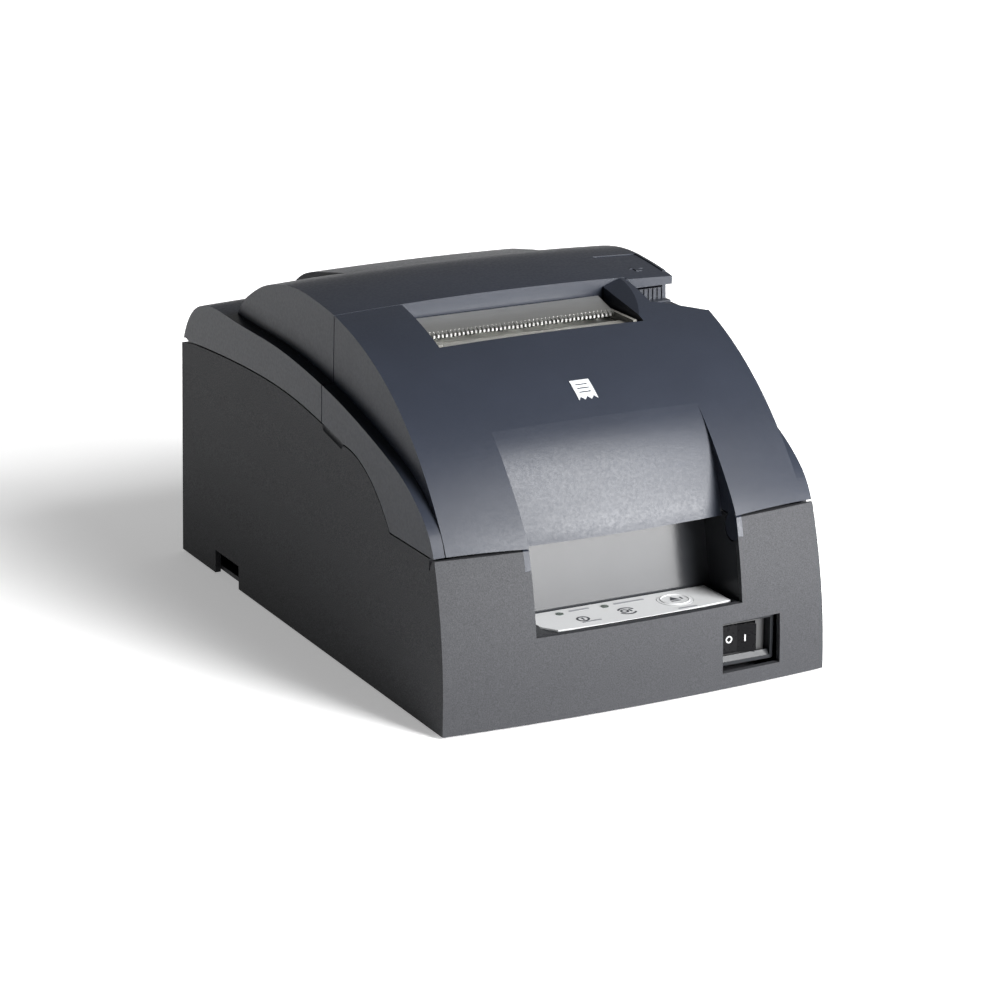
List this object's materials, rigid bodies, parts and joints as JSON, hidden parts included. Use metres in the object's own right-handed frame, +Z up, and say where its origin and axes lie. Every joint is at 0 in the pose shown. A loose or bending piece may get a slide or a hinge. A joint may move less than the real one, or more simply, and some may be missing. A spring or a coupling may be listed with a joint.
{
  "type": "receipt printer",
  "caption": "Compact impact receipt printer with a front ribbon cover, a rear roll cover, a paper slot with a cutter, a control panel and a power switch.",
  "frame": {"origin": "on the table under the middle of the casing", "axes": "+Z up, the control panel and power switch face -Y, +X is to the right seen from the front"},
  "size_m": [0.16, 0.2481, 0.1361],
  "materials": {
    "case_plastic": "fine grained moulded plastic",
    "base_plastic": "matte",
    "cover_plastic": "satin moulded plastic",
    "mark_ink": "printed",
    "bay_plastic": "smooth moulded plastic",
    "foot_rubber": "matte",
    "screw_steel": "zinc plated",
    "label_film": "printed film",
    "lens": "diffuse",
    "circuit_board": "solder mask",
    "black_plastic": "matte",
    "black_gloss": "gloss",
    "shaft_steel": "ground",
    "plated_steel": "zinc plated sheet",
    "head_metal": "cast",
    "white_plastic": "natural acetal",
    "belt_rubber": "toothed",
    "motor_steel": "drawn can",
    "brass": "machined",
    "roller_rubber": "ground",
    "cassette_plastic": "moulded",
    "ribbon_fabric": "inked",
    "tray_plastic": "moulded",
    "cutter_steel": "bright"
  },
  "bodies": {
    "chassis": {"base_plate": "base_plastic", "base_screws": "screw_steel", "carriage_motor": "motor_steel", "carriage_rail": "plated_steel", "carriage_shaft": "shaft_steel", "control_board": "circuit_board", "control_overlay": "label_film", "control_tray": "bay_plastic", "cutter_frame": "tray_plastic", "cutter_motor": "motor_steel", "cutter_top_plate": "cutter_steel", "data_connector": "black_plastic", "drawer_socket": "black_plastic", "feed_motor": "motor_steel", "frame_screws": "screw_steel", "front_hinge_pins": "shaft_steel", "idler_post": "shaft_steel", "idler_shaft": "shaft_steel", "interface_plate": "plated_steel", "interface_screws": "screw_steel", "lower_case": "case_plastic", "main_board": "circuit_board", "mechanism_frame": "plated_steel", "power_socket": "black_plastic", "rear_hinge_pins": "shaft_steel", "ribbon": "ribbon_fabric", "ribbon_cassette": "cassette_plastic", "roll_bucket": "cover_plastic", "rubber_feet": "foot_rubber", "status_lenses": "lens", "switch_bezel": "bay_plastic", "switch_body": "black_plastic", "timing_belt": "belt_rubber"},
    "front_cover": {"front_cover": "cover_plastic", "cover_mark": "mark_ink"},
    "paper_cover": {"paper_cover": "cover_plastic", "platen": "black_plastic", "lever_pin": "shaft_steel"},
    "release_lever": {"release_lever": "cover_plastic"},
    "pinch_roller": {"pinch_roller": "roller_rubber"},
    "power_rocker": {"power_rocker": "black_gloss"},
    "feed_button": {"feed_button": "label_film"},
    "head_carriage": {"head_carriage": "black_plastic", "print_head": "head_metal"},
    "drive_pulley": {"drive_pulley": "white_plastic"},
    "idler_pulley": {"idler_pulley": "white_plastic"},
    "ribbon_knob": {"ribbon_knob": "cassette_plastic"},
    "feed_roller": {"feed_roller": "roller_rubber", "feed_gear": "white_plastic"},
    "idler_gear": {"idler_gear": "white_plastic"},
    "motor_pinion": {"motor_pinion": "brass"},
    "cutter_blade": {"cutter_blade": "cutter_steel"},
    "cutter_pinion": {"cutter_pinion": "white_plastic"}
  },
  "joints": [
    {"name": "front_cover_hinge", "type": "hinge", "parent": "chassis", "child": "front_cover", "pos_m": [0, -0.1135, 0.06], "axis": [1, 0, 0], "range_deg": [0, 75]},
    {"name": "paper_cover_hinge", "type": "hinge", "parent": "chassis", "child": "paper_cover", "pos_m": [0, 0.119, 0.087], "axis": [-1, 0, 0], "range_deg": [0, 80]},
    {"name": "release_lever_hinge", "type": "hinge", "parent": "paper_cover", "child": "release_lever", "pos_m": [0.0615, 0.008, 0.1296], "axis": [-1, 0, 0], "range_deg": [0, 12], "stiffness_Nm_per_rad": 0.02},
    {"name": "pinch_roller_spin", "type": "hinge", "parent": "paper_cover", "child": "pinch_roller", "pos_m": [0, -0.01, 0.112], "axis": [1, 0, 0], "continuous": true},
    {"name": "power_rocker_hinge", "type": "hinge", "parent": "chassis", "child": "power_rocker", "pos_m": [0.0454, -0.1126, 0.0166], "axis": [0, 0, 1], "range_deg": [0, 14]},
    {"name": "feed_button_press", "type": "slide", "parent": "chassis", "child": "feed_button", "axis": [0, 0, -1], "range_m": [0, 0.0008], "stiffness_N_per_m": 400},
    {"name": "carriage_slide", "type": "slide", "parent": "chassis", "child": "head_carriage", "axis": [1, 0, 0], "range_m": [-0.032, 0.032]},
    {"name": "drive_pulley_spin", "type": "hinge", "parent": "chassis", "child": "drive_pulley", "pos_m": [0.047, -0.063, 0.074], "axis": [0, 0, 1], "continuous": true},
    {"name": "idler_pulley_spin", "type": "hinge", "parent": "chassis", "child": "idler_pulley", "pos_m": [-0.047, -0.063, 0.074], "axis": [0, 0, 1], "continuous": true},
    {"name": "ribbon_knob_spin", "type": "hinge", "parent": "chassis", "child": "ribbon_knob", "pos_m": [-0.036, -0.056, 0.104], "axis": [0, 0, 1], "continuous": true},
    {"name": "feed_roller_spin", "type": "hinge", "parent": "chassis", "child": "feed_roller", "pos_m": [0, -0.0206, 0.112], "axis": [1, 0, 0], "continuous": true},
    {"name": "idler_gear_spin", "type": "hinge", "parent": "chassis", "child": "idler_gear", "pos_m": [-0.062, -0.02904, 0.08826], "axis": [1, 0, 0], "continuous": true},
    {"name": "motor_pinion_spin", "type": "hinge", "parent": "chassis", "child": "motor_pinion", "pos_m": [-0.062, -0.032, 0.0705], "axis": [1, 0, 0], "continuous": true},
    {"name": "cutter_blade_slide", "type": "slide", "parent": "chassis", "child": "cutter_blade", "axis": [0, 1, 0], "range_m": [0, 0.005]},
    {"name": "cutter_pinion_spin", "type": "hinge", "parent": "chassis", "child": "cutter_pinion", "pos_m": [0.03, -0.034, 0.112], "axis": [1, 0, 0], "range_deg": [-50, 0]}
  ],
  "couplings": [
    {"joint": "pinch_roller_spin", "follows": "feed_roller_spin", "ratio": -1.3333},
    {"joint": "drive_pulley_spin", "follows": "carriage_slide", "rad_per_m": -151.52},
    {"joint": "idler_pulley_spin", "follows": "carriage_slide", "rad_per_m": -151.52},
    {"joint": "idler_gear_spin", "follows": "feed_roller_spin", "ratio": -0.90909},
    {"joint": "motor_pinion_spin", "follows": "feed_roller_spin", "ratio": 2.5},
    {"joint": "cutter_pinion_spin", "follows": "cutter_blade_slide", "rad_per_m": -166.67}
  ]
}
